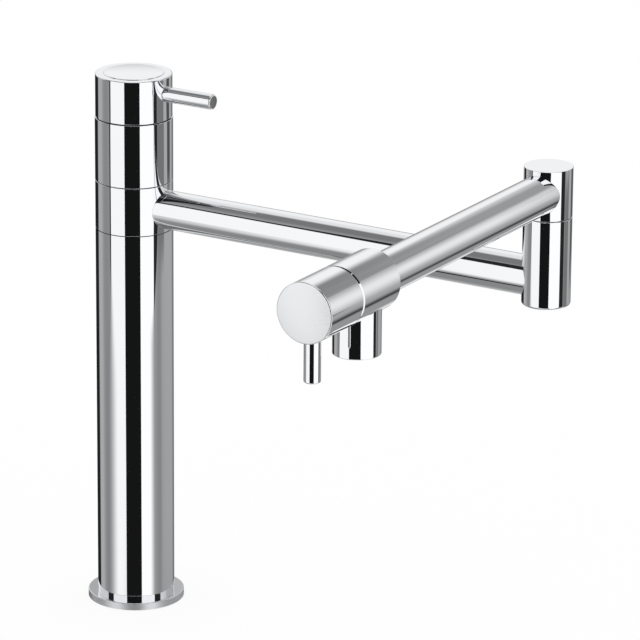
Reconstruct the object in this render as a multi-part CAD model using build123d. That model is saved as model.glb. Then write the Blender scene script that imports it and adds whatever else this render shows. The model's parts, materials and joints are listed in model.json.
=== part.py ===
from build123d import *
from math import cos, radians
import os

# Swing-arm kitchen tap for a worktop. All sizes are in millimetres.
# The origin is on the worktop under the middle of the column, with +Z up.
# The lower arm lies along +X and the upper arm comes forward along -Y.

hexagon_sides = 6

# Fits
slip = 0.05             # radial room of a part that slides in and stays
running = 0.05          # radial room of a part that turns
loose = 0.3             # room between parts that only pass each other

# Column and foot plate
column_d = 48.0
column_wall = 2.5
column_top = 242.0
flange_d = 60.0
flange_h = 4.5
flange_edge = 0.5
shoulder_inset = 0.4
shoulder_h = 2.5
column_low_edge = 0.3
register_h = 4.0
foot_plug_h = 20.0
gasket_inset = 3.0
gasket_width = 4.0
gasket_h = 2.0

# Shank and nut under the worktop
worktop_h = 40.0
shank_d = 30.0
shank_wall = 3.5
shank_low = -70.0
shank_grip = 16.0
deck_washer_d = 52.0
deck_washer_h = 3.0
clamp_washer_d = 54.0
clamp_washer_h = 2.5
nut_across_flats = 41.0
nut_h = 10.0
nut_chamfer = 0.8

# Inlet pipe
riser_d = 15.0
riser_wall = 2.0
riser_insert = 14.0
inlet_thread_d = 20.955
inlet_thread_h = 14.0
inlet_low = -112.0
inlet_hex_across_flats = 24.0
inlet_hex_h = 8.0
inlet_socket_h = 10.0
inlet_chamfer = 0.8

# Ring seals
seal_section = 2.0
seal_room = 0.6         # how much wider a groove is than its ring
seal_proud = 0.02

# Swivel between column and lower arm
spigot_d = 30.0
spigot_thread_step = 1.0
spigot_thread_h = 20.0
spigot_seal_inset = 5.4
collar_h = 30.3
collar_gap = 0.35
collar_groove_depth = 2.5
collar_groove_h = 11.0
collar_edge = 0.25
collar_port_d = 10.0
slide_ring_w = 3.0
slide_ring_h = 1.6
slide_play = 0.05
channel_d = 4.5
channel_count = 4
channel_turn = 45.0

# Upper sleeve and main handle
sleeve_h = 39.5
sleeve_edge = 0.2
handle_gap = 0.5
handle_inset = 0.35
handle_h = 27.0
handle_low_edge = 0.4
handle_top_edge = 0.7
handle_wall = 4.0
handle_hollow_h = 8.8
handle_ring_w = 3.0
handle_ring_h = 2.5
hub_d = 16.0
cover_inset = 5.0
cover_recess = 2.0
cover_proud = 0.35
cover_crown = 0.7
cover_edge = 0.35
screw_d = 5.0
screw_length = 15.0
screw_head_d = 8.5
screw_head_h = 5.0
screw_head_room_d = 9.5
screw_seat_up = 11.8
screw_socket_across_flats = 4.0
screw_socket_h = 2.5
drive_room = 0.3

# Lever and knob pins
pin_d = 9.5
pin_edge = 1.0
pin_seat_depth = 3.2
pin_spigot_d = 6.0
lever_up = 16.6
lever_reach = 57.4
lever_spigot_h = 9.0
pin_tip_room = 0.05

# Arms and elbow
arm_d = 24.0
arm_wall = 2.0
arm_up = 14.5
arm_socket_wall = 0.2
elbow_reach = 288.0
elbow_d = 29.0
saddle_depth = 0.8
arm_port_d = 13.0
elbow_drop = 0.9
lower_barrel_h = 52.9
barrel_floor = 4.0
barrel_step = 1.0
barrel_low_edge = 1.6
barrel_edge = 0.25
elbow_wall = 4.5
elbow_spigot_wall = 4.0
elbow_spigot_length = 26.6
elbow_thread_step = 1.0
elbow_thread_h = 9.0
elbow_ring_w = 3.0
elbow_ring_h = 1.5
elbow_gap = 0.35
elbow_seal_drop = 9.3
elbow_seal_pitch = 7.0
snap_ring_up = 2.6
snap_ring_h = 1.5
snap_ring_proud = 1.2
snap_groove_depth = 1.4
snap_split = 4.0
upper_barrel_h = 30.1
upper_chamber_step = 0.5

# Outlet head
head_wall = 4.5
head_rear = 202.3
head_rear_edge = 0.3
head_front_bevel = 0.8
head_socket_h = 8.2
head_seat_depth = 13.7
valve_proud = 0.25
knob_gap = 0.6
knob_h = 33.8
knob_crown = 1.25
knob_end_edge = 0.7
knob_rear_edge = 0.4
knob_wall = 3.5
knob_hollow_h = 15.0
knob_hub_d = 14.0
knob_pin_inset = 9.0
knob_pin_reach = 41.6
knob_face_wall = 5.35
nozzle_inset = 17.2
nozzle_wall = 1.65
nozzle_shoulder = 2.0
nozzle_reach = 38.1
nozzle_edge = 0.4
nozzle_port_d = 12.0

# Aerator in the spout
aerator_d = 24.0
aerator_room_h = 10.5
aerator_wall = 2.5
aerator_inset = 0.6
aerator_washer_h = 1.2
aerator_lip_h = 1.5
aerator_lip_w = 1.0
aerator_insert_h = 5.0
jet_d = 1.8
jet_pitch = 2.8
jet_rows = 2
jets_in_first_row = 6

# Quarter-turn valve, the same in the column and in the outlet head
chamber_d = 26.0
chamber_sump = 3.0
seat_inset = 1.0
supply_d = 10.0
valve_bore_d = 16.6
valve_wall = 1.65
bottom_seal_inset = 0.8
bottom_seal_w = 2.5
bottom_seal_h = 1.6
disc_h = 3.0
disc_gap = 0.05
disc_window_inset = 1.7
disc_window_w = 4.0
disc_window_angle = 76.0
outlet_window_h = 4.2
outlet_window_w = 8.0
stem_collar_inset = 1.3
stem_collar_h = 2.0
stem_play = 0.05
stem_d = 9.0
stem_top_room = 0.5
drive_bar_w = 4.0
drive_bar_engage = 1.0
drive_flats = 6.4
main_drive_h = 9.5
valve_flange_h = 10.0
valve_hex_room = 0.3
valve_hex_h = 4.0
valve_seal_up = 3.0
stem_seal_up = 6.5
stem_seal_section = 1.2
valve_hex_drop = 3.65

# Diameters that follow from the sizes above
corner_share = cos(radians(180 / hexagon_sides))
column_bore_d = column_d - 2 * column_wall
plug_d = column_bore_d - 2 * slip
shoulder_d = column_d - 2 * shoulder_inset
gasket_outer_d = flange_d - 2 * gasket_inset
gasket_inner_d = gasket_outer_d - 2 * gasket_width
shank_bore_d = shank_d - 2 * shank_wall
riser_bore_d = riser_d - 2 * riser_wall
spigot_thread_d = spigot_d - 2 * spigot_thread_step
collar_groove_d = spigot_d + 2 * collar_groove_depth
slide_ring_bore_d = spigot_d + 2 * loose
slide_ring_d = slide_ring_bore_d + 2 * slide_ring_w
arm_socket_x = slide_ring_d / 2 + slip + arm_socket_wall
channel_circle_r = (supply_d + spigot_d - 2 * seal_section) / 4
handle_d = column_d - 2 * handle_inset
cover_d = handle_d - 2 * cover_inset
arm_bore_d = arm_d - 2 * arm_wall
elbow_spigot_d = elbow_d - 2 * elbow_wall
elbow_spigot_bore_d = elbow_spigot_d - 2 * elbow_spigot_wall
elbow_thread_d = elbow_spigot_d - 2 * elbow_thread_step
elbow_ring_d = elbow_spigot_d + 2 * elbow_ring_w
barrel_bore_d = elbow_spigot_d - 2 * barrel_step
snap_ring_d = elbow_spigot_d + 2 * snap_ring_proud
snap_groove_d = elbow_spigot_d - 2 * snap_groove_depth
upper_chamber_d = elbow_thread_d - 2 * upper_chamber_step
head_d = chamber_d + 2 * head_wall
knob_hollow_d = head_d - 2 * knob_wall
nozzle_d = aerator_d + 2 * nozzle_wall
nozzle_bore_d = aerator_d - 2 * nozzle_shoulder
aerator_bore_d = aerator_d - 2 * aerator_wall
aerator_lip_d = aerator_bore_d - 2 * aerator_lip_w
bottom_seal_d = valve_bore_d - 2 * bottom_seal_inset
bottom_seal_bore_d = bottom_seal_d - 2 * bottom_seal_w
seat_d = bottom_seal_d - 2 * seat_inset
disc_window_outer_r = valve_bore_d / 2 - disc_window_inset
disc_window_inner_r = disc_window_outer_r - disc_window_w
stem_collar_d = valve_bore_d - 2 * stem_collar_inset
valve_hex_across_flats = (chamber_d - 2 * valve_hex_room) * corner_share

# Heights in a valve, from its seat
moving_disc_low = bottom_seal_h + disc_h + disc_gap
moving_disc_top = moving_disc_low + disc_h
valve_flange_low = moving_disc_top + outlet_window_h
valve_flange_top = valve_flange_low + valve_flange_h
valve_hex_top = valve_flange_top + valve_hex_h
valve_neck = valve_flange_low + stem_collar_h + stem_play
stem_shaft_top = valve_hex_top + stem_top_room

# Heights in the column, and distances along the upper arm
column_low = flange_h + shoulder_h
foot_plug_low = column_low + register_h
collar_low = column_top + collar_gap
collar_top = collar_low + collar_h
sleeve_low = collar_top + collar_gap
sleeve_top = sleeve_low + sleeve_h
handle_low = sleeve_top + handle_gap
handle_top = handle_low + handle_h
main_seat = sleeve_top - valve_hex_drop - valve_hex_top
lower_arm_z = column_top + arm_up
elbow_low = column_top - elbow_drop
lower_barrel_top = column_top + lower_barrel_h
upper_barrel_low = lower_barrel_top + elbow_gap
upper_arm_z = upper_barrel_low + upper_barrel_h / 2
head_seat = head_rear + head_seat_depth
head_front = head_seat + valve_hex_top - valve_proud
nozzle_along = head_rear + nozzle_inset
knob_rear = head_front + knob_gap
knob_end = knob_rear + knob_h
knob_pin_along = knob_end - knob_pin_inset
knob_drive_end = knob_end - knob_face_wall
knob_drive_h = knob_drive_end - drive_room - head_seat - stem_shaft_top
saddle_r = elbow_d / 2 - saddle_depth
nozzle_saddle_r = head_d / 2 - saddle_depth

# Places: the elbow's upright axis, and each arm's axis with local +X pointing down
elbow_place = Pos(elbow_reach, 0, 0)
lower_arm_place = Plane(origin=(0, 0, lower_arm_z), x_dir=(0, 0, -1), z_dir=(1, 0, 0)).location
upper_arm_place = Plane(origin=(elbow_reach, 0, upper_arm_z), x_dir=(0, 0, -1), z_dir=(0, -1, 0)).location
lever_place = Plane(origin=(0, 0, handle_low + lever_up), x_dir=(0, 0, -1), z_dir=(1, 0, 0)).location
main_valve_place = Pos(0, 0, main_seat)
outlet_valve_place = upper_arm_place * Pos(0, 0, head_seat)
nozzle_place = upper_arm_place * Pos(0, 0, nozzle_along) * Rot(0, 90, 0)
knob_pin_place = upper_arm_place * Pos(0, 0, knob_pin_along) * Rot(0, 90, 0)


def rod(diameter, low, high, low_edge=0.0, high_edge=0.0):
    """A round bar on the Z axis, with its end edges rounded where asked."""
    bar = Pos(0, 0, (low + high) / 2) * Cylinder(diameter / 2, high - low)
    if low_edge > 0:
        bar = fillet(bar.edges().group_by(Axis.Z)[0], low_edge)
    if high_edge > 0:
        bar = fillet(bar.edges().group_by(Axis.Z)[-1], high_edge)
    return bar


def tube(outer_d, inner_d, low, high, low_edge=0.0, high_edge=0.0):
    """A round tube on the Z axis."""
    return rod(outer_d, low, high, low_edge, high_edge) - rod(inner_d, low, high)


def crowned_rod(diameter, low, high, crown, low_edge, high_edge):
    """A round bar on the Z axis whose top is slightly domed. High is the level of the dome's rim.

    The dome is the side of a ball that lies on its side, so that no pole of the ball is on it.
    """
    ball_r = (diameter * diameter / 4 + crown * crown) / (2 * crown)
    bar = rod(diameter, low, high + crown, low_edge)
    bar &= Pos(0, 0, high + crown - ball_r) * Rot(90, 0, 0) * Sphere(ball_r)
    circles = bar.edges().filter_by(lambda edge: edge.is_closed)
    return fillet(circles.group_by(Axis.Z)[-1], high_edge)


def block(width, depth, low, high):
    """A square-edged bar on the Z axis."""
    return Pos(0, 0, (low + high) / 2) * Box(width, depth, high - low)


def hexagon(across_flats, low, high):
    """A hexagon bar on the Z axis."""
    outline = RegularPolygon(across_flats / 2, hexagon_sides, major_radius=False)
    return Pos(0, 0, low) * extrude(outline, high - low)


def ring_seal(outer_r, section, height):
    """A round rubber ring whose outside has the given radius."""
    return Pos(0, 0, height) * Torus(outer_r - section / 2, section / 2)


def outer_groove(outer_d, section, height):
    """The groove in a bar that holds such a ring."""
    half = (section + seal_room) / 2
    return tube(outer_d + 2 * loose, outer_d - 2 * section, height - half, height + half)


# Quarter-turn valve, drawn on the Z axis with its seat at zero

def valve_room(depth):
    """The hollow that takes a valve, with the seat ring standing in it and the supply hole below."""
    room = tube(chamber_d, seat_d, -chamber_sump, 0)
    room += rod(chamber_d, 0, depth)
    room += rod(supply_d, -chamber_sump, 0)
    return room


def valve_body_shell():
    """The brass body of a valve: screwed in by its hexagon, with side windows for the water."""
    body = rod(valve_bore_d + 2 * valve_wall, 0, valve_flange_low)
    body += rod(chamber_d - 2 * slip, valve_flange_low, valve_flange_top)
    body += hexagon(valve_hex_across_flats, valve_flange_top, valve_hex_top)
    body -= rod(valve_bore_d, 0, valve_neck)
    body -= rod(stem_d + 2 * running, valve_neck, valve_hex_top)
    body -= block(outlet_window_w, chamber_d, moving_disc_top, valve_flange_low)
    body -= outer_groove(chamber_d - 2 * slip, seal_section, valve_flange_low + valve_seal_up)
    return body


def valve_flange_seal():
    """The ring that seals the body of a valve in its hollow."""
    outer_r = chamber_d / 2 - slip + seal_proud
    return ring_seal(outer_r, seal_section - seal_proud, valve_flange_low + valve_seal_up)


def valve_bottom_seal():
    """The flat rubber ring between the seat and the fixed disc."""
    return tube(bottom_seal_d, bottom_seal_bore_d, 0, bottom_seal_h)


def disc_windows(low, high):
    """Two opposite wedge-shaped openings through a ceramic disc, along X."""
    band = tube(2 * disc_window_outer_r, 2 * disc_window_inner_r, low, high)
    half = Pos(0, -head_d / 2, 0) * block(head_d, head_d, low, high)
    below = Rot(0, 0, disc_window_angle / 2) * half
    above = Rot(0, 0, 180 - disc_window_angle / 2) * half
    window = (band & below) & above
    return window + Rot(0, 0, 180) * window


def valve_fixed_disc():
    """The ceramic disc that stays still."""
    top = bottom_seal_h + disc_h
    disc = rod(valve_bore_d - 2 * slip, bottom_seal_h, top)
    return disc - disc_windows(bottom_seal_h, top)


def valve_moving_disc():
    """The ceramic disc that the stem turns, closed at rest, with a slot for the stem's bar."""
    disc = rod(valve_bore_d - 2 * running, moving_disc_low, moving_disc_top)
    disc -= Rot(0, 0, 90) * disc_windows(moving_disc_low, moving_disc_top)
    slot = block(valve_bore_d, drive_bar_w + 2 * slip, moving_disc_top - drive_bar_engage, moving_disc_top)
    return disc - slot


def valve_stem(drive_h):
    """The turning stem: a bar in the disc's slot, a collar, a round shaft and a square drive."""
    stem = block(stem_collar_d, drive_bar_w, moving_disc_top - drive_bar_engage, valve_flange_low)
    stem += rod(stem_collar_d, valve_flange_low, valve_flange_low + stem_collar_h)
    stem += rod(stem_d, valve_flange_low, stem_shaft_top)
    stem += block(drive_flats, drive_flats, stem_shaft_top, stem_shaft_top + drive_h)
    return stem - outer_groove(stem_d, stem_seal_section, valve_flange_low + stem_seal_up)


def valve_stem_seal():
    """The small ring on the stem's shaft."""
    outer_r = stem_d / 2 + seal_proud
    return ring_seal(outer_r, stem_seal_section - seal_proud, valve_flange_low + stem_seal_up)


# Foot and fixings

def base_flange():
    """The round foot plate, with a shoulder and register for the column and a groove for its gasket."""
    plate = rod(flange_d, 0, flange_h, high_edge=flange_edge)
    plate += rod(shoulder_d, flange_h, column_low)
    plate += rod(plug_d, column_low, foot_plug_low)
    plate -= tube(gasket_outer_d + 2 * slip, gasket_inner_d - 2 * slip, 0, gasket_h)
    return plate - rod(shank_d + 2 * slip, 0, foot_plug_low)


def foot_plug():
    """The plug in the column's foot that the shank screws into."""
    return tube(plug_d, shank_d + 2 * slip, foot_plug_low, foot_plug_low + foot_plug_h)


def mounting_nut(top):
    """The hexagon nut under the worktop."""
    corner_d = nut_across_flats / corner_share
    turned = rod(corner_d, top - nut_h, top)
    turned = chamfer(turned.edges().filter_by(GeomType.CIRCLE), nut_chamfer)
    nut = hexagon(nut_across_flats, top - nut_h, top) & turned
    return nut - rod(shank_d + 2 * slip, top - nut_h, top)


def inlet_tail():
    """The threaded inlet end that a hose screws onto."""
    thread_top = inlet_low + inlet_thread_h
    top = thread_top + inlet_hex_h
    thread = rod(inlet_thread_d, inlet_low, thread_top)
    tail = chamfer(thread.edges().group_by(Axis.Z)[0], inlet_chamfer)
    tail += hexagon(inlet_hex_across_flats, thread_top, top)
    tail -= rod(riser_d + 2 * slip, top - inlet_socket_h, top)
    return tail - rod(riser_bore_d, inlet_low, top)


def inlet_riser():
    """The water pipe from the inlet end up to the valve."""
    low = inlet_low + inlet_thread_h + inlet_hex_h - inlet_socket_h
    high = column_top - spigot_thread_h + riser_insert
    return tube(riser_d, riser_bore_d, low, high)


def riser_seal_height():
    """How high the ring round the riser's top sits."""
    return column_top - spigot_thread_h + riser_insert / 2


def riser_seal():
    """The ring round the top of the riser."""
    return ring_seal(riser_d / 2 + seal_section, seal_section - seal_proud, riser_seal_height())


# Valve body and swivel

def spigot_seal_heights():
    """Heights of the two rings on the swivel spigot."""
    return [collar_low + spigot_seal_inset, collar_top - spigot_seal_inset]


def valve_channels():
    """The channels that lead water from the valve's hollow down and out to the collar."""
    cuts = []
    for index in range(channel_count):
        turn = Rot(0, 0, channel_turn + index * 360 / channel_count)
        down = Pos(channel_circle_r, 0, 0) * rod(channel_d, lower_arm_z, main_seat - chamber_sump)
        side = Pos(0, 0, lower_arm_z) * Rot(0, 90, 0) * rod(channel_d, channel_circle_r, spigot_d)
        tip = Pos(channel_circle_r, 0, lower_arm_z) * Sphere(channel_d / 2)
        cuts += [turn * down, turn * side, turn * tip]
    return cuts


def valve_body():
    """The turned body: thread, swivel spigot and head in one piece, hollow for water and valve."""
    low = column_top - spigot_thread_h
    head_top = main_seat + valve_flange_top
    body = rod(spigot_thread_d, low, column_top)
    body += rod(spigot_d, column_top, sleeve_low)
    body += rod(plug_d, sleeve_low, head_top)
    body -= main_valve_place * valve_room(valve_flange_top)
    body -= rod(supply_d, low, main_seat)
    body -= rod(riser_d + 2 * slip, low, low + riser_insert)
    half = (seal_section + seal_room) / 2
    seal_z = riser_seal_height()
    body -= rod(riser_d + 2 * seal_section, seal_z - half, seal_z + half)
    for height in spigot_seal_heights():
        body -= outer_groove(spigot_d, seal_section, height)
    return body - valve_channels()


def spigot_seals():
    """The two rings on the swivel spigot."""
    rings = [ring_seal(spigot_d / 2 + seal_proud, seal_section, height) for height in spigot_seal_heights()]
    return Compound(children=rings)


def swivel_collar():
    """The collar that turns on the spigot and carries the lower arm."""
    collar = tube(column_d, spigot_d + 2 * running, collar_low, collar_top, collar_edge, collar_edge)
    depth = slide_ring_h + slide_play - collar_gap
    collar -= rod(slide_ring_d + 2 * slip, collar_low, collar_low + depth)
    collar -= rod(slide_ring_d + 2 * slip, collar_top - depth, collar_top)
    half = collar_groove_h / 2
    collar -= rod(collar_groove_d, lower_arm_z - half, lower_arm_z + half)
    collar -= lower_arm_place * rod(arm_d + 2 * slip, arm_socket_x, column_d)
    return collar - lower_arm_place * rod(collar_port_d, spigot_d / 2, arm_socket_x)


def collar_slide_rings():
    """The two plastic rings that the collar slides on."""
    low = column_top + slide_play
    high = sleeve_low - slide_play
    lower = tube(slide_ring_d, slide_ring_bore_d, low, low + slide_ring_h)
    upper = tube(slide_ring_d, slide_ring_bore_d, high - slide_ring_h, high)
    return Compound(children=[lower, upper])


# Arms and elbow

def elbow_core(room):
    """The round core of the elbow that the arm tubes are cut to fit."""
    return elbow_place * rod(2 * saddle_r + 2 * room, column_top - elbow_d, upper_arm_z + elbow_d)


def arm_saddle(place, near, far):
    """The saddle-shaped seat for an arm tube in the side of the elbow."""
    return place * rod(arm_d + 2 * slip, near, far) - elbow_core(0)


def lower_arm_tube():
    """The lower arm, square at the collar and cut to a saddle at the elbow."""
    arm = lower_arm_place * tube(arm_d, arm_bore_d, arm_socket_x, elbow_reach)
    return arm - elbow_core(slip)


def upper_arm_tube():
    """The upper arm, cut to a saddle at the elbow and square at the outlet head."""
    arm = upper_arm_place * tube(arm_d, arm_bore_d, 0, head_rear + head_socket_h)
    return arm - elbow_core(slip)


def elbow_spigot_low():
    """Height of the lower end of the elbow's spigot."""
    return upper_barrel_low - elbow_spigot_length


def snap_ring_low():
    """Height of the underside of the elbow's split ring."""
    return elbow_spigot_low() + snap_ring_up


def elbow_lower_barrel():
    """The closed lower half of the elbow, bored from above."""
    spigot_floor = elbow_spigot_low() - loose
    ring_floor = upper_barrel_low - slide_play - elbow_ring_h
    barrel = rod(elbow_d, elbow_low, lower_barrel_top, barrel_low_edge, barrel_edge)
    barrel -= rod(barrel_bore_d, elbow_low + barrel_floor, spigot_floor)
    barrel -= rod(elbow_spigot_d + 2 * running, spigot_floor, lower_barrel_top)
    barrel -= rod(elbow_ring_d + 2 * slip, ring_floor, lower_barrel_top)
    groove_low = snap_ring_low() - loose
    groove_high = snap_ring_low() + snap_ring_h + loose
    barrel -= rod(snap_ring_d + 2 * loose, groove_low, groove_high)
    barrel = elbow_place * barrel
    barrel -= arm_saddle(lower_arm_place, elbow_reach - elbow_d, elbow_reach)
    return barrel - lower_arm_place * rod(arm_port_d, elbow_reach - elbow_d / 2, elbow_reach)


def elbow_slide_ring():
    """The plastic ring between the two halves of the elbow."""
    top = upper_barrel_low - slide_play
    return elbow_place * tube(elbow_ring_d, elbow_spigot_d + 2 * loose, top - elbow_ring_h, top)


def elbow_seal_heights():
    """Heights of the two rings on the elbow's spigot."""
    high = upper_barrel_low - elbow_seal_drop
    return [high, high - elbow_seal_pitch]


def elbow_spigot():
    """The hollow spigot, screwed into the upper half and turning in the lower half."""
    low = elbow_spigot_low()
    top = upper_barrel_low + elbow_thread_h
    spigot = rod(elbow_spigot_d, low, upper_barrel_low)
    spigot += rod(elbow_thread_d, upper_barrel_low, top)
    spigot -= rod(elbow_spigot_bore_d, low, top)
    for height in elbow_seal_heights():
        spigot -= outer_groove(elbow_spigot_d, seal_section, height)
    groove_low = snap_ring_low() - slide_play
    groove_high = snap_ring_low() + snap_ring_h + slide_play
    spigot -= tube(elbow_spigot_d + 2 * loose, snap_groove_d, groove_low, groove_high)
    return elbow_place * spigot


def elbow_seals():
    """The two rings on the elbow's spigot."""
    outer_r = elbow_spigot_d / 2 + seal_proud
    rings = [elbow_place * ring_seal(outer_r, seal_section, height) for height in elbow_seal_heights()]
    return Compound(children=rings)


def elbow_snap_ring():
    """The split ring that keeps the spigot from lifting out."""
    low = snap_ring_low()
    high = low + snap_ring_h
    ring = tube(snap_ring_d, snap_groove_d + 2 * slip, low, high)
    split = Pos(snap_ring_d / 2, 0, 0) * block(snap_ring_d, snap_split, low, high)
    return elbow_place * (ring - split)


def elbow_upper_barrel():
    """The closed upper half of the elbow, bored from below."""
    top = upper_barrel_low + upper_barrel_h
    thread_top = upper_barrel_low + elbow_thread_h
    barrel = rod(elbow_d, upper_barrel_low, top, barrel_edge, barrel_edge)
    barrel -= rod(elbow_thread_d + 2 * slip, upper_barrel_low, thread_top)
    barrel -= rod(upper_chamber_d, thread_top, top - barrel_floor)
    barrel = elbow_place * barrel
    barrel -= arm_saddle(upper_arm_place, 0, elbow_d)
    return barrel - upper_arm_place * rod(arm_port_d, 0, elbow_d / 2)


# Outlet head

def outlet_body():
    """The rear half of the outlet head, with the valve's hollow and the seat for the spout."""
    socket_floor = head_rear + head_socket_h
    body = rod(head_d, head_rear, head_front, head_rear_edge)
    body = chamfer(body.edges().group_by(Axis.Z)[-1], head_front_bevel)
    body -= rod(arm_d + 2 * slip, head_rear, socket_floor)
    body -= rod(supply_d, socket_floor, head_seat)
    body = upper_arm_place * body
    body -= outlet_valve_place * valve_room(head_front - head_seat)
    seat = nozzle_place * rod(nozzle_d + 2 * slip, 0, head_d)
    body -= seat - upper_arm_place * rod(2 * nozzle_saddle_r, head_rear, head_front)
    return body - nozzle_place * rod(nozzle_port_d, chamber_d / 2 - slip, head_d)


def spout_nozzle():
    """The short spout, cut to a saddle on the head and opened out for the aerator."""
    room_low = nozzle_reach - aerator_room_h
    spout = rod(nozzle_d, 0, nozzle_reach, high_edge=nozzle_edge)
    spout -= rod(nozzle_bore_d, 0, room_low)
    spout -= rod(aerator_d + 2 * slip, room_low, nozzle_reach)
    spout = nozzle_place * spout
    return spout - upper_arm_place * rod(2 * nozzle_saddle_r + 2 * slip, head_rear, head_front)


def aerator_washer():
    """The rubber washer above the aerator."""
    low = nozzle_reach - aerator_room_h
    return nozzle_place * tube(aerator_d, aerator_bore_d, low, low + aerator_washer_h)


def aerator_housing():
    """The screwed ring that holds the aerator's insert on a small lip."""
    low = nozzle_reach - aerator_room_h + aerator_washer_h
    high = nozzle_reach - aerator_inset
    ring = rod(aerator_d, low, high) - rod(aerator_bore_d, low, high - aerator_lip_h)
    return nozzle_place * (ring - rod(aerator_lip_d, high - aerator_lip_h, high))


def aerator_insert():
    """The plastic insert with a field of small holes for the water."""
    high = nozzle_reach - aerator_inset - aerator_lip_h
    low = high - aerator_insert_h
    insert = rod(aerator_bore_d - 2 * slip, low, high)
    cuts = [rod(jet_d, low, high)]
    for row in range(1, jet_rows + 1):
        count = jets_in_first_row * row
        for index in range(count):
            cuts.append(Rot(0, 0, index * 360 / count) * Pos(row * jet_pitch, 0, 0) * rod(jet_d, low, high))
    return nozzle_place * (insert - cuts)


def knob_cap():
    """The turning front half of the outlet head."""
    flats = drive_flats + 2 * slip
    knob = crowned_rod(head_d, knob_rear, knob_end, knob_crown, knob_rear_edge, knob_end_edge)
    knob -= tube(knob_hollow_d, knob_hub_d, knob_rear, knob_rear + knob_hollow_h)
    knob -= block(flats, flats, knob_rear, knob_drive_end)
    knob -= rod(stem_d + 2 * loose, head_front, head_seat + stem_shaft_top + loose)
    knob = upper_arm_place * knob
    seat_r = head_d / 2 - pin_seat_depth
    knob -= knob_pin_place * rod(pin_d + 2 * slip, seat_r, head_d)
    return knob - knob_pin_place * rod(pin_spigot_d + 2 * slip, 0, seat_r)


def knob_pin():
    """The short pin that turns the knob. Its threaded end locks the knob on the stem."""
    seat_r = head_d / 2 - pin_seat_depth
    pin = rod(pin_d, seat_r, knob_pin_reach, high_edge=pin_edge)
    pin += rod(pin_spigot_d, drive_flats / 2 + pin_tip_room, seat_r)
    return knob_pin_place * pin


# Main handle

def handle_cap():
    """The turning cap on top of the column."""
    cover_floor = handle_top - cover_recess
    drive_top = main_seat + stem_shaft_top + main_drive_h + drive_room
    flats = drive_flats + 2 * slip
    cap = rod(handle_d, handle_low, handle_top, handle_low_edge, handle_top_edge)
    cap -= tube(handle_d - 2 * handle_wall, hub_d, handle_low, handle_low + handle_hollow_h)
    cap -= block(flats, flats, handle_low, drive_top)
    cap -= rod(screw_d + 2 * slip, drive_top, handle_low + screw_seat_up)
    cap -= rod(screw_head_room_d, handle_low + screw_seat_up, cover_floor)
    cap -= rod(cover_d + 2 * slip, cover_floor, handle_top)
    seat_r = handle_d / 2 - pin_seat_depth
    cap -= lever_place * rod(pin_d + 2 * slip, seat_r, handle_d)
    return cap - lever_place * rod(pin_spigot_d + 2 * slip, seat_r - lever_spigot_h, seat_r)


def handle_cover():
    """The slightly domed disc let into the top of the cap."""
    rim = handle_top + cover_proud
    return crowned_rod(cover_d, handle_top - cover_recess, rim, cover_crown, 0, cover_edge)


def handle_slide_ring():
    """The plastic ring in the sleeve's mouth that the cap turns over."""
    top = handle_low - loose
    return tube(plug_d, plug_d - 2 * handle_ring_w, top - handle_ring_h, top)


def handle_screw():
    """The screw that holds the cap on the stem."""
    seat = handle_low + screw_seat_up
    screw = rod(screw_d, seat - screw_length, seat)
    head_top = seat + screw_head_h
    screw += rod(screw_head_d, seat, head_top)
    return screw - hexagon(screw_socket_across_flats, head_top - screw_socket_h, head_top)


def lever_pin():
    """The straight lever pin, screwed into the side of the cap."""
    seat_r = handle_d / 2 - pin_seat_depth
    pin = rod(pin_d, seat_r, lever_reach, high_edge=pin_edge)
    pin += rod(pin_spigot_d, seat_r - lever_spigot_h + pin_tip_room, seat_r)
    return lever_place * pin


def main_stem():
    """The stem of the main valve, with the hole for the handle's screw."""
    stem = main_valve_place * valve_stem(main_drive_h)
    hole_low = handle_low + screw_seat_up - screw_length - loose
    return stem - rod(screw_d + 2 * slip, hole_low, main_seat + stem_shaft_top + main_drive_h)


deck_washer_top = -worktop_h
clamp_washer_top = deck_washer_top - deck_washer_h
nut_top = clamp_washer_top - clamp_washer_h
shank_top = foot_plug_low + shank_grip
washer_bore_d = shank_d + 2 * loose

os.makedirs("parts", exist_ok=True)
export_step(base_flange(), "parts/base_flange.step")
export_step(tube(gasket_outer_d, gasket_inner_d, 0, gasket_h), "parts/deck_gasket.step")
column_tube = tube(column_d, column_bore_d, column_low, column_top, column_low_edge)
export_step(column_tube, "parts/column_tube.step")
export_step(foot_plug(), "parts/foot_plug.step")
export_step(tube(shank_d, shank_bore_d, shank_low, shank_top), "parts/mounting_shank.step")
export_step(tube(deck_washer_d, washer_bore_d, clamp_washer_top, deck_washer_top), "parts/deck_washer.step")
export_step(tube(clamp_washer_d, washer_bore_d, nut_top, clamp_washer_top), "parts/clamp_washer.step")
export_step(mounting_nut(nut_top), "parts/mounting_nut.step")
export_step(inlet_tail(), "parts/inlet_tail.step")
export_step(inlet_riser(), "parts/inlet_riser.step")
export_step(riser_seal(), "parts/riser_seal.step")
plug_low = column_top - spigot_thread_h
export_step(tube(plug_d, spigot_thread_d + 2 * slip, plug_low, column_top), "parts/column_plug.step")
export_step(valve_body(), "parts/valve_body.step")
export_step(spigot_seals(), "parts/spigot_seals.step")
upper_sleeve = tube(column_d, column_bore_d, sleeve_low, sleeve_top, sleeve_edge, sleeve_edge)
export_step(upper_sleeve, "parts/upper_sleeve.step")
export_step(handle_slide_ring(), "parts/handle_slide_ring.step")
export_step(main_valve_place * valve_body_shell(), "parts/main_valve_body.step")
export_step(main_valve_place * valve_flange_seal(), "parts/main_valve_seal.step")
export_step(main_valve_place * valve_bottom_seal(), "parts/main_bottom_seal.step")
export_step(main_valve_place * valve_fixed_disc(), "parts/main_fixed_disc.step")
export_step(main_valve_place * valve_moving_disc(), "parts/main_moving_disc.step")
export_step(main_stem(), "parts/main_stem.step")
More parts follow.
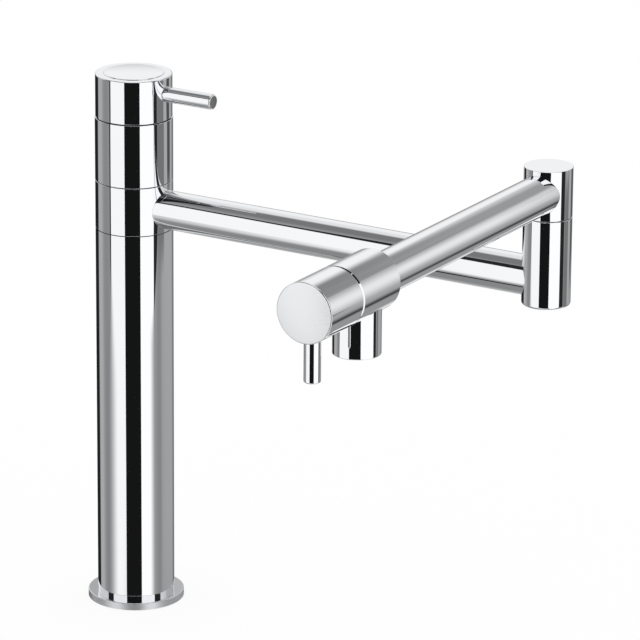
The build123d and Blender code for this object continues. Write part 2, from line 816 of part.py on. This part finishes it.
export_step(main_valve_place * valve_stem_seal(), "parts/main_stem_seal.step")
export_step(handle_cap(), "parts/handle_cap.step")
export_step(handle_cover(), "parts/handle_cover.step")
export_step(handle_screw(), "parts/handle_screw.step")
export_step(lever_pin(), "parts/lever_pin.step")
export_step(swivel_collar(), "parts/swivel_collar.step")
export_step(collar_slide_rings(), "parts/collar_slide_rings.step")
export_step(lower_arm_tube(), "parts/lower_arm_tube.step")
export_step(elbow_lower_barrel(), "parts/elbow_lower_barrel.step")
export_step(elbow_slide_ring(), "parts/elbow_slide_ring.step")
export_step(elbow_upper_barrel(), "parts/elbow_upper_barrel.step")
export_step(elbow_spigot(), "parts/elbow_spigot.step")
export_step(elbow_seals(), "parts/elbow_seals.step")
export_step(elbow_snap_ring(), "parts/elbow_snap_ring.step")
export_step(upper_arm_tube(), "parts/upper_arm_tube.step")
export_step(outlet_body(), "parts/outlet_body.step")
export_step(spout_nozzle(), "parts/spout_nozzle.step")
export_step(aerator_housing(), "parts/aerator_housing.step")
export_step(aerator_insert(), "parts/aerator_insert.step")
export_step(aerator_washer(), "parts/aerator_washer.step")
export_step(outlet_valve_place * valve_body_shell(), "parts/outlet_valve_body.step")
export_step(outlet_valve_place * valve_flange_seal(), "parts/outlet_valve_seal.step")
export_step(outlet_valve_place * valve_bottom_seal(), "parts/outlet_bottom_seal.step")
export_step(outlet_valve_place * valve_fixed_disc(), "parts/outlet_fixed_disc.step")
export_step(outlet_valve_place * valve_moving_disc(), "parts/outlet_moving_disc.step")
export_step(outlet_valve_place * valve_stem(knob_drive_h), "parts/outlet_stem.step")
export_step(outlet_valve_place * valve_stem_seal(), "parts/outlet_stem_seal.step")
export_step(knob_cap(), "parts/knob_cap.step")
export_step(knob_pin(), "parts/knob_pin.step")
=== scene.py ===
import json
import math
import bmesh
import bpy
from mathutils import Matrix, Vector


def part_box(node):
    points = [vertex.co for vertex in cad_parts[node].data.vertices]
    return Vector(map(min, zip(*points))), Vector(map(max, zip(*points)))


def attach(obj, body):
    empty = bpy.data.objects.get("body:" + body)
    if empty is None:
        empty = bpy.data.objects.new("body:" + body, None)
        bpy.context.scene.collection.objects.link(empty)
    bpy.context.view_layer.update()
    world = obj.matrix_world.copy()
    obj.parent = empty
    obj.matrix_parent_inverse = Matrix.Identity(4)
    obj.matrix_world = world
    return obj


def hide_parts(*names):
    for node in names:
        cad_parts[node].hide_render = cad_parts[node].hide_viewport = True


# Swing-arm kitchen tap in bright chrome on a white worktop. Lengths are in metres.

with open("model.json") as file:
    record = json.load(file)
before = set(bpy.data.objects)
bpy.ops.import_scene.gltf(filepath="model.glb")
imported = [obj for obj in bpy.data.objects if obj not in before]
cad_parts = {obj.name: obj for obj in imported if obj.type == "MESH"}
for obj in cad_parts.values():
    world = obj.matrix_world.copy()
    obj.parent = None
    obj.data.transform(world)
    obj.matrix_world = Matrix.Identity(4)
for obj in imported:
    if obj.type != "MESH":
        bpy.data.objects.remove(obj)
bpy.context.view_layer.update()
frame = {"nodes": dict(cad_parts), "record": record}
scene = bpy.context.scene
scene.view_settings.view_transform = "Standard"
upward = Vector((0, 0, 1))


# Camera, at the photograph's place

camera_spot = Vector((1.6029332, -2.4658371, 1.1350538))
camera_right = Vector((0.8579171, 0.5137452, 0.0066408))
camera_up = Vector((-0.1639101, 0.2614225, 0.9512054))
lens_mm = 280.365
sensor_mm = 36.0


def place_camera():
    """The photograph's camera, looking down at the tap from its right front."""
    data = bpy.data.cameras.new("camera")
    data.lens = lens_mm
    data.sensor_width = sensor_mm
    camera = bpy.data.objects.new("camera", data)
    turn = Matrix((camera_right, camera_up, camera_right.cross(camera_up))).transposed()
    camera.matrix_world = Matrix.Translation(camera_spot) @ turn.to_4x4()
    scene.collection.objects.link(camera)
    scene.camera = camera


# Node trees

class Wire:
    """A socket of a node tree. Sums on wires add Math nodes to the tree."""

    def __init__(self, tree, socket):
        self.tree = tree
        self.socket = socket

    def math(self, operation, first, second=0.0):
        return self.tree.add("ShaderNodeMath", {"operation": operation}, {0: first, 1: second})

    def __add__(self, other):
        return self.math("ADD", self, other)

    def __radd__(self, other):
        return self.math("ADD", other, self)

    def __sub__(self, other):
        return self.math("SUBTRACT", self, other)

    def __rsub__(self, other):
        return self.math("SUBTRACT", other, self)

    def __mul__(self, other):
        return self.math("MULTIPLY", self, other)

    def __rmul__(self, other):
        return self.math("MULTIPLY", other, self)

    def __abs__(self):
        return self.math("ABSOLUTE", self)

    def rise(self, start, full):
        """0 up to start and 1 from full on, smooth in between. It falls where full is below start."""
        ends = {"Value": self, "From Min": start, "From Max": full}
        return self.tree.add("ShaderNodeMapRange", {"interpolation_type": "SMOOTHSTEP"}, ends)

    def between(self, start, full, last, end):
        """1 from full to last, and 0 up to start and from end on."""
        return self.rise(start, full) * self.rise(end, last)

    def near(self, centre, far, full):
        """1 nearer to the centre than full, and 0 farther from it than far."""
        return abs(self - centre).rise(far, full)

    def toward(self, goal, share):
        """This value, moved to the goal by a share."""
        return self + share * (goal - self)


class Tree:
    """The node tree of a material or of the world."""

    def __init__(self, owner):
        owner.use_nodes = True
        self.nodes = owner.node_tree.nodes
        self.links = owner.node_tree.links
        self.nodes.clear()

    def add(self, kind, settings=None, inputs=None, output=0):
        """Adds a node, makes its settings, then fills its sockets. Gives back one of its outputs."""
        node = self.nodes.new(kind)
        for name, value in (settings or {}).items():
            setattr(node, name, value)
        for name, value in (inputs or {}).items():
            if isinstance(value, Wire):
                self.links.new(value.socket, node.inputs[name])
            else:
                node.inputs[name].default_value = value
        return Wire(self, node.outputs[output]) if len(node.outputs) else None

    def axes(self, vector):
        """The three parts of a vector."""
        return [self.add("ShaderNodeSeparateXYZ", {}, {"Vector": vector}, axis) for axis in "XYZ"]

    def place(self):
        """Where a point lies on its own object."""
        return self.add("ShaderNodeTexCoord", {}, {}, "Object")

    def surface(self, shader):
        self.add("ShaderNodeOutputMaterial", {}, {"Surface": shader})


def grey(level):
    """A plain grey."""
    return (level, level, level, 1.0)


def tone(low, high, share):
    """A value that goes from low to high by a share."""
    return low + (high - low) * share


# Studio. Its places are given to the right of the tap and nearer to the camera, seen from the camera.

rightward = Vector((camera_right.x, camera_right.y, 0.0)).normalized()
nearer = Vector((rightward.y, -rightward.x, 0.0))

left_box_outer = (-1.10, 0.38)
left_box_inner = (-0.75, 1.50)
right_box_outer = (0.72, 0.42)
right_box_inner = (0.42, 1.22)
box_low = -1.10
box_top = 1.23
box_frame_top = 0.60
box_margin = 0.7
box_foot_fade = (-1.08, -0.45)
box_top_drop = 0.06
box_top_drop_ends = (0.0, 0.3)
rim_black = 0.02
rim_growth_heights = (0.15, 0.35, 0.70, 1.30)
top_bar_outer = 0.20
top_bar_inner = 0.70
top_bar_ends = (0.02, 0.15)
flag_black = 0.008
flag_pale_above = 0.8
flag_above_ends = (1.70, 1.74)
flag_pale_below = 0.7
flag_below_ends = (-0.60, -0.80)
sharp_edge = 0.004
worktop_half = 4.0
worktop_gap = 0.0002
worktop_tone = 0.99
worktop_glow = 0.86


def spot(right, near):
    """A place on the worktop's level."""
    return rightward * right + nearer * near


def card(name, start, end, low, high):
    """An upright card, seen only in reflections. Gives its tree, the way along it and its height."""
    begin = spot(*start)
    run = spot(*end) - begin
    mesh = bpy.data.meshes.new(name)
    corners = [(0, low, 0), (run.length, low, 0), (run.length, high, 0), (0, high, 0)]
    mesh.from_pydata(corners, [], [(0, 1, 2, 3)])
    panel = bpy.data.objects.new(name, mesh)
    across = run.normalized()
    turn = Matrix((across, upward, across.cross(upward))).transposed()
    panel.matrix_world = Matrix.Translation(begin) @ turn.to_4x4()
    scene.collection.objects.link(panel)
    for kind in ("camera", "diffuse", "transmission", "volume_scatter", "shadow"):
        setattr(panel, "visible_" + kind, False)
    material = bpy.data.materials.new(name)
    material.cycles.emission_sampling = "NONE"
    mesh.materials.append(material)
    tree = Tree(material)
    along, height, _ = tree.axes(tree.place())
    return tree, along, height


def glowing(tree, brightness, cover):
    """A card's glow. Where its cover is less than 1, the studio behind it shows through."""
    glow = tree.add("ShaderNodeEmission", {}, {"Color": brightness})
    clear = tree.add("ShaderNodeBsdfTransparent")
    tree.surface(tree.add("ShaderNodeMixShader", {}, {0: cover, 1: clear, 2: glow}))


def soft_box(name, outer, inner, white, fade_heights, fade_reach, rim, rim_heights, rim_growth):
    """A tall soft box in a black frame. Low down its outer edge blurs and its light fades away."""
    out = (Vector(outer) - Vector(inner)).normalized()
    start = Vector(outer) + out * box_margin
    tree, along, height = card(name, start, inner, box_low, box_top + box_frame_top)
    inside = along - box_margin
    fade = height.rise(*fade_heights)
    reach_in, reach_out = fade_reach
    lit = inside.rise(-sharp_edge - reach_out * fade, sharp_edge + reach_in * fade)
    top = height + box_top_drop * inside.rise(*box_top_drop_ends)
    lit = lit * top.rise(box_top + sharp_edge, box_top - sharp_edge)
    wide = rim * height.rise(*rim_heights) + rim_growth * height.between(*rim_growth_heights)
    beside = (inside + wide).rise(-sharp_edge, sharp_edge) * (1.0 - fade)
    top_bar = tone(top_bar_outer, top_bar_inner, inside.rise(*top_bar_ends))
    framed = beside * (height - top_bar).rise(box_top + sharp_edge, box_top - sharp_edge)
    cover = height.rise(*box_foot_fade) * lit.toward(1.0, framed)
    glowing(tree, tone(rim_black, white, lit), cover)


def soft_boxes():
    """The two soft boxes beside the camera."""
    soft_box("left_box", left_box_outer, left_box_inner, white=0.98,
             fade_heights=(-0.10, -0.28), fade_reach=(0.46, 0.58),
             rim=0.09, rim_heights=(-0.30, -0.20), rim_growth=0.36)
    soft_box("right_box", right_box_outer, right_box_inner, white=1.05,
             fade_heights=(-0.05, -0.11), fade_reach=(0.23, 0.19),
             rim=0.20, rim_heights=(-0.09, 0.01), rim_growth=0.12)


def black_flag():
    """The dark gap between the soft boxes, where the camera stands, with pale cloth above and below it."""
    tree, _, height = card("black_flag", left_box_inner, right_box_inner, box_low, box_top + box_frame_top)
    cloth = flag_black + flag_pale_above * height.rise(*flag_above_ends)
    cloth = cloth + flag_pale_below * height.rise(*flag_below_ends)
    tree.surface(tree.add("ShaderNodeEmission", {}, {"Color": cloth}))


def dark_panel():
    """A narrow dark panel far to the right and behind."""
    tree, along, height = card("dark_panel", start=(0.74, -0.68), end=(0.93, -0.38), low=-0.2, high=0.3)
    cover = height.between(-0.04, 0.0, 0.12, 0.20) * along.between(0.0, 0.03, 0.305, 0.355)
    glowing(tree, grey(0.08), cover)


def grey_panel():
    """A low grey panel to the right, slanting down as it goes back."""
    slant = 0.24
    tree, along, height = card("grey_panel", start=(0.744, 0.20), end=(1.42, -0.28), low=-0.4, high=0.3)
    level = height + slant * along
    cover = level.between(-0.03, 0.02, 0.16, 0.19) * along.rise(0.82, 0.72)
    glowing(tree, grey(0.18), cover)


def pale_panel():
    """A pale panel behind the elbow, fading away upward and to the right."""
    tree, along, height = card("pale_panel", start=(0.72, -0.06), end=(0.36, -0.35), low=0.42, high=0.90)
    cover = height.between(0.46, 0.56, 0.64, 0.84) * along.between(0.0, 0.10, 0.40, 0.462)
    glowing(tree, tone(0.33, 0.58, along.rise(0.22, 0.42)), cover)


def dull_panel():
    """A half clear, dull panel low behind the elbow."""
    half_clear = 0.5
    tree, along, height = card("dull_panel", start=(0.755, -0.032), end=(0.58, -0.173), low=0.20, high=0.52)
    cover = height.between(0.22, 0.30, 0.40, 0.48) * along.between(0.0, 0.08, 0.14, 0.21)
    glowing(tree, grey(0.45), half_clear * cover)


def foot_panel():
    """A small grey panel behind the foot plate, darker to the left."""
    right_tone = 0.56
    darkening = 0.9
    tree, along, height = card("foot_panel", start=(0.08, -0.5), end=(-0.08, -0.5), low=0.08, high=0.28)
    cover = height.between(0.09, 0.12, 0.24, 0.27)
    glowing(tree, right_tone - darkening * along, cover)


def dark_strip():
    """A slanting dark strip low in front of the column, which draws a line under the lower arm's end."""
    slant = 1.15
    tree, along, height = card("dark_strip", start=(-0.05, 0.10), end=(-0.05, 0.30), low=-0.18, high=0.10)
    level = height + slant * along
    cover = level.between(0.03, 0.05, 0.105, 0.125) * along.rise(0.04, 0.075)
    glowing(tree, grey(flag_black), cover)


def room_tone(side, height):
    """The room's tone by direction, in degrees: side is 0 toward the camera and 90 to the right."""
    faint = 0.5
    wall_band = height.between(-28, -23, -6, 2)
    screen_band = height.between(-12, 4, 30, 40)
    low_band = height.between(-26, -23, -14, -10)
    backdrop_band = height.between(-4, 8, 57, 68)
    screen = tone(0.55, 0.85, height.rise(0, 40))
    left_floor = tone(0.34, 0.52, side.rise(-162, -172))
    near_floor = tone(0.17, 0.75, side.rise(2, -14))
    ceiling = tone(0.01, 0.18, side.rise(-10, 50)).toward(0.80, side.rise(84, 128))
    backdrop = tone(0.60, 0.93, height.rise(2, 18)).toward(0.79, height.rise(32, 50))
    areas = {
        "low room": (0.25, height.rise(-30, -50)),
        "right wall": (0.365, side.rise(72, 112) * wall_band),
        "left wall at the back": (0.41, side.near(-120, 24, 6) * wall_band),
        "left wall": (0.255, side.near(-90, 24, 2) * wall_band),
        "gap beside the right box": (0.25, side.near(79, 12, 4) * wall_band),
        "shade on the right": (0.245, side.rise(96, 116) * height.near(33, 14, 5)),
        "left screen": (screen, side.between(-168, -156, -98, -86) * screen_band),
        "right screen": (screen, side.between(58, 66, 100, 112) * screen_band),
        "right floor": (0.80, side.rise(96, 110) * height.rise(-38, -46)),
        "left floor": (left_floor, side.rise(-138, -150) * height.rise(-26, -34)),
        "near floor": (near_floor, side.between(-52, -44, 84, 96) * height.rise(-36, -44)),
        "floor underneath": (0.45, height.rise(-62, -72)),
        "high wall": (0.70, side.rise(-64, -56) * height.rise(38, 44)),
        "ceiling": (ceiling, side.rise(-74, -71) * height.rise(44, 47)),
        "ceiling overhead": (0.95, height.rise(64, 72)),
        "backdrop on the right": (backdrop, side.rise(152, 172) * backdrop_band),
        "backdrop on the left": (backdrop, side.rise(-134, -154) * backdrop_band),
        "light strip": (0.84, side.near(116, 48, 22) * height.near(5, 25, 1)),
        "seam over the strip": (0.16, faint * side.near(122, 40, 24) * height.near(24.5, 1.0, 0.3)),
        "shade under the strip": (0.15, side.near(120, 36, 22) * height.between(-32, -28, -26, -20)),
        "table's edge": (0.05, side.near(120, 36, 22) * height.near(-27.5, 2.2, 0.6)),
        "pale floor behind": (0.84, side.rise(150, 166) * height.rise(-24, -29)),
        "dark corner on the left": (0.015, side.rise(-128, -134) * low_band),
        "dark corner on the right": (0.17, side.rise(140, 158) * low_band),
    }
    room = tone(0.31, 0.19, height.rise(46, 57))
    for area_tone, share in areas.values():
        room = room.toward(area_tone, share)
    return room


def studio_walls():
    """Plain white to the camera and in diffuse light. Reflections show the grey room and its backdrop."""
    world = bpy.data.worlds.new("studio")
    scene.world = world
    tree = Tree(world)
    look = tree.add("ShaderNodeTexCoord", {}, {}, "Generated")

    def along(axis):
        settings = {"operation": "DOT_PRODUCT"}
        return tree.add("ShaderNodeVectorMath", settings, {0: look, 1: tuple(axis)}, "Value")

    to_degrees = math.degrees(1.0)
    up = along(upward)
    height = up.math("ARCSINE", up) * to_degrees
    side = up.math("ARCTAN2", along(rightward), along(nearer)) * to_degrees
    mirrored = tree.add("ShaderNodeLightPath", {}, {}, "Is Glossy Ray")
    brightness = tone(1.0, room_tone(side, height), mirrored)
    back = tree.add("ShaderNodeBackground", {}, {"Color": brightness})
    tree.add("ShaderNodeOutputWorld", {}, {"Surface": back})
    world.cycles.sampling_method = "NONE"


def worktop():
    """The white worktop: white to the camera, with the tap's soft shadow on it."""
    mesh = bpy.data.meshes.new("worktop")
    corners = [(-1, -1, 0), (1, -1, 0), (1, 1, 0), (-1, 1, 0)]
    mesh.from_pydata([Vector(corner) * worktop_half for corner in corners], [], [(0, 1, 2, 3)])
    floor = bpy.data.objects.new("worktop", mesh)
    floor.location.z = -worktop_gap
    scene.collection.objects.link(floor)
    floor.visible_glossy = False
    material = bpy.data.materials.new("worktop_white")
    tree = Tree(material)
    matt_white = tree.add("ShaderNodeBsdfDiffuse", {}, {"Color": grey(worktop_tone)})
    white = tree.add("ShaderNodeEmission", {}, {"Color": grey(1.0)})
    tree.surface(tree.add("ShaderNodeMixShader", {}, {0: worktop_glow, 1: matt_white, 2: white}))
    material.cycles.emission_sampling = "NONE"
    mesh.materials.append(material)


# Finishes

unstretched = (1.0, 1.0, 1.0)
cloud_scale = 38.0
cloud_detail = 3.0
chrome_low = (0.915, 0.930, 0.950)
chrome_high = (0.945, 0.958, 0.972)
chrome_smoothest = 0.012
chrome_roughest = 0.036
chrome_wave_scale = 30.0
chrome_wave = 0.000006
wave_detail = 1.0
satin_spread = 0.05
satin_edge = 0.0003
foot_low = (0.86, 0.87, 0.89)
foot_high = (0.90, 0.91, 0.93)
foot_rim_depth = 0.0006
foot_rim_roughness = 0.37
knob_face_depth = 0.0014
knob_face_roughness = 0.33
matt_cloud_scale = 120.0
matt_spread = 0.12
grain_scale = 2600.0
grain_detail = 2.0


def new_finish(name):
    material = bpy.data.materials.new(name)
    return material, Tree(material)


def noise(tree, scale, detail, stretch=unstretched):
    """Cloudy noise fixed to the piece, stretched along its axes where asked."""
    place = {0: tree.place(), 1: stretch}
    place = tree.add("ShaderNodeVectorMath", {"operation": "MULTIPLY"}, place, "Vector")
    return tree.add("ShaderNodeTexNoise", {}, {"Vector": place, "Scale": scale, "Detail": detail})


def bumped(tree, height, distance):
    return tree.add("ShaderNodeBump", {}, {"Height": height, "Distance": distance, "Strength": 1.0})


def shade(tree, share, low, high):
    """A colour between two, by a share."""
    return tree.add("ShaderNodeMix", {"data_type": "RGBA"}, {0: share, 6: (*low, 1.0), 7: (*high, 1.0)}, 2)


def chrome(name, low=chrome_low, high=chrome_high, satin=None, satin_roughness=0.0):
    """Bright chrome: faint clouds in tone and gloss, a slight waviness, and a satin stretch where asked."""
    material, tree = new_finish(name)
    clouds = noise(tree, cloud_scale, cloud_detail)
    roughness = tone(chrome_smoothest, chrome_roughest, clouds)
    if satin:
        roughness = roughness.toward(satin_roughness + satin_spread * clouds, satin(*tree.axes(tree.place())))
    sockets = {
        "Base Color": shade(tree, clouds, low, high),
        "Metallic": 1.0,
        "Roughness": roughness,
        "Normal": bumped(tree, noise(tree, chrome_wave_scale, wave_detail), chrome_wave),
    }
    tree.surface(tree.add("ShaderNodeBsdfPrincipled", {}, sockets))
    return material


def metal(name, low, high, roughness, spread, wave, wave_scale, stretch=unstretched):
    """A plain or turned metal: clouds in its tone and gloss, and fine tool marks."""
    material, tree = new_finish(name)
    clouds = noise(tree, cloud_scale, cloud_detail, stretch)
    sockets = {
        "Base Color": shade(tree, clouds, low, high),
        "Metallic": 1.0,
        "Roughness": roughness + spread * clouds,
        "Normal": bumped(tree, noise(tree, wave_scale, wave_detail, stretch), wave),
    }
    tree.surface(tree.add("ShaderNodeBsdfPrincipled", {}, sockets))
    return material


def matt(name, low, high, roughness, grain):
    """Rubber, plastic or ceramic with a fine grain."""
    material, tree = new_finish(name)
    clouds = noise(tree, matt_cloud_scale, cloud_detail)
    sockets = {
        "Base Color": shade(tree, clouds, low, high),
        "Roughness": roughness + matt_spread * clouds,
        "Normal": bumped(tree, noise(tree, grain_scale, grain_detail), grain),
    }
    tree.surface(tree.add("ShaderNodeBsdfPrincipled", {}, sockets))
    return material


finishes = {
    "chrome": chrome("bright_chrome"),
    "brass": metal("turned_brass", (0.70, 0.50, 0.20), (0.83, 0.62, 0.29), roughness=0.22, spread=0.16,
                   wave=0.00003, wave_scale=900.0, stretch=(1, 1, 6)),
    "steel": metal("plain_steel", (0.52, 0.52, 0.53), (0.66, 0.66, 0.67), roughness=0.28, spread=0.14,
                   wave=0.00003, wave_scale=700.0),
    "rubber": matt("black_rubber", (0.018, 0.018, 0.019), (0.034, 0.034, 0.035),
                   roughness=0.55, grain=0.00004),
    "slide_plastic": matt("black_slide_plastic", (0.02, 0.02, 0.021), (0.035, 0.035, 0.036),
                          roughness=0.38, grain=0.00002),
    "aerator_plastic": matt("pale_aerator_plastic", (0.68, 0.70, 0.72), (0.77, 0.79, 0.81),
                            roughness=0.34, grain=0.00002),
    "ceramic": matt("white_ceramic", (0.86, 0.85, 0.82), (0.93, 0.92, 0.90),
                    roughness=0.12, grain=0.00001),
}


def foot_plate_finish():
    """Chrome with a satin rim, where the foot plate was turned."""
    rim_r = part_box("base_flange")[1][0] - foot_rim_depth

    def rim(x, y, z):
        radius = z.math("SQRT", x * x + y * y)
        return radius.rise(rim_r, rim_r + satin_edge)

    return chrome("foot_plate_chrome", foot_low, foot_high, rim, foot_rim_roughness)


def knob_finish():
    """Chrome with a satin end face."""
    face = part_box("knob_cap")[0][1] + knob_face_depth

    def end(x, y, z):
        return y.rise(face, face - satin_edge)

    return chrome("knob_chrome", satin=end, satin_roughness=knob_face_roughness)


def dress_nodes():
    """Each piece of the tap gets the finish of its slot, or a finish of its own."""
    own = {"base_flange": foot_plate_finish(), "knob_cap": knob_finish()}
    for piece in frame["record"]["subparts"]:
        mesh = frame["nodes"][piece["node"]].data
        mesh.materials.clear()
        mesh.materials.append(own.get(piece["node"], finishes[piece["material_slot"]]))


# Threaded pieces under the worktop, as rings of points round the column's axis

columns = 48
thread_levels = (0.0, 0.0, 1.0, 1.0)       # root and crest, in the order that they follow each other
thread_places = (0.0, 0.12, 0.50, 0.62)    # where these lie along a turn, as shares of the pitch
free_turns = 0.5
plain_turns = 1.0
fade_turns = 0.6
shank_wall = 0.0035
shank_pitch = 0.002
shank_thread_depth = 0.0012
inlet_pitch = 0.001814
inlet_thread_depth = 0.00116
inlet_thread_r = 0.0104775
inlet_thread_length = 0.014
inlet_bore_r = 0.0055
inlet_socket_r = 0.00755
inlet_socket_depth = 0.010
inlet_flats_r = 0.012
hexagon_face_r = 0.0119
hexagon_bevel = 0.0011
sharp_angle = math.radians(28)


def around(column):
    """The angle of a column of points."""
    return 2 * math.pi * column / columns


def on_ring(body, column, radius, height):
    angle = around(column)
    return body.verts.new((radius * math.cos(angle), radius * math.sin(angle), height))


def round_ring(body, radius, height):
    return [on_ring(body, column, radius, height) for column in range(columns)]


def hexagon_ring(body, flats_r, height):
    """A ring on a hexagon that has a corner on +X."""
    corner = math.pi / 3
    radii = [flats_r / math.cos(around(column) % corner - corner / 2) for column in range(columns)]
    return [on_ring(body, column, radius, height) for column, radius in enumerate(radii)]


def skin(body, rings):
    """Joins each ring to the next."""
    for lower, upper in zip(rings, rings[1:]):
        for column in range(columns):
            after = (column + 1) % columns
            body.faces.new((lower[column], lower[after], upper[after], upper[column]))


def thread(body, low, high, crest_r, depth, pitch):
    """Fills the band between two rings with a screw thread, which runs out at both ends."""
    levels = len(thread_levels)
    room = high[0].co.z - low[0].co.z
    turns = math.floor(room / pitch - free_turns)
    start = low[0].co.z + (room - turns * pitch) / 2
    rows = (turns - 1) * levels

    def point(row, column):
        turn = row // levels + thread_places[row % levels] + column / columns
        share = (min(turn, turns - turn) - plain_turns) / fade_turns
        share = min(max(share, 0.0), 1.0)
        radius = crest_r - depth * (1.0 - share * thread_levels[row % levels])
        return on_ring(body, column, radius, start + turn * pitch)

    lines = [[point(row, column) for row in range(rows + 1)] for column in range(columns)]
    lines[0] += [point(row, 0) for row in range(rows + 1, rows + levels + 1)]
    lines.append(lines[0][levels:])
    for column in range(columns):
        here, after = lines[column], lines[column + 1]
        after_low, after_high = low[(column + 1) % columns], high[(column + 1) % columns]
        first = lines[0][:levels] if column == columns - 1 else []
        last = lines[0][:rows:-1] if column == 0 else []
        body.faces.new((low[column], after_low, *first, after[0], here[0]))
        for row in range(rows):
            body.faces.new((here[row], after[row], after[row + 1], here[row + 1]))
        body.faces.new((here[rows], after[rows], after_high, high[column], *last))


def brass_piece(name, node, body):
    """A piece fixed to the column that stands for one of its nodes."""
    bmesh.ops.recalc_face_normals(body, faces=body.faces)
    mesh = bpy.data.meshes.new(name)
    body.to_mesh(mesh)
    body.free()
    mesh.shade_smooth()
    mesh.set_sharp_from_angle(angle=sharp_angle)
    mesh.materials.append(finishes["brass"])
    piece = bpy.data.objects.new(name, mesh)
    scene.collection.objects.link(piece)
    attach(piece, "column")
    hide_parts(node)


def threaded_shank():
    """The hollow shank that the nut clamps from below, threaded from end to end."""
    lowest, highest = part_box("mounting_shank")
    root_r = highest[0] - shank_thread_depth
    bore_r = highest[0] - shank_wall
    body = bmesh.new()
    low_bore = round_ring(body, bore_r, lowest[2])
    low = round_ring(body, root_r, lowest[2])
    high = round_ring(body, root_r, highest[2])
    high_bore = round_ring(body, bore_r, highest[2])
    skin(body, [high, high_bore, low_bore, low])
    thread(body, low, high, highest[0], shank_thread_depth, shank_pitch)
    brass_piece("threaded_shank", "mounting_shank", body)


def threaded_inlet():
    """The inlet end: a pipe thread for the hose, a bevelled hexagon and a socket for the riser."""
    lowest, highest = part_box("inlet_tail")
    end, top = lowest[2], highest[2]
    hexagon_low = end + inlet_thread_length
    socket_floor = top - inlet_socket_depth
    root_r = inlet_thread_r - inlet_thread_depth
    body = bmesh.new()
    low = round_ring(body, root_r, end)
    high = round_ring(body, root_r, hexagon_low)
    rings = [
        high,
        round_ring(body, hexagon_face_r, hexagon_low),
        hexagon_ring(body, inlet_flats_r, hexagon_low + hexagon_bevel),
        hexagon_ring(body, inlet_flats_r, top - hexagon_bevel),
        round_ring(body, hexagon_face_r, top),
        round_ring(body, inlet_socket_r, top),
        round_ring(body, inlet_socket_r, socket_floor),
        round_ring(body, inlet_bore_r, socket_floor),
        round_ring(body, inlet_bore_r, end),
        low,
    ]
    skin(body, rings)
    thread(body, low, high, inlet_thread_r, inlet_thread_depth, inlet_pitch)
    brass_piece("threaded_inlet", "inlet_tail", body)


place_camera()
soft_boxes()
black_flag()
dark_panel()
grey_panel()
pale_panel()
dull_panel()
foot_panel()
dark_strip()
studio_walls()
worktop()
dress_nodes()
threaded_shank()
threaded_inlet()
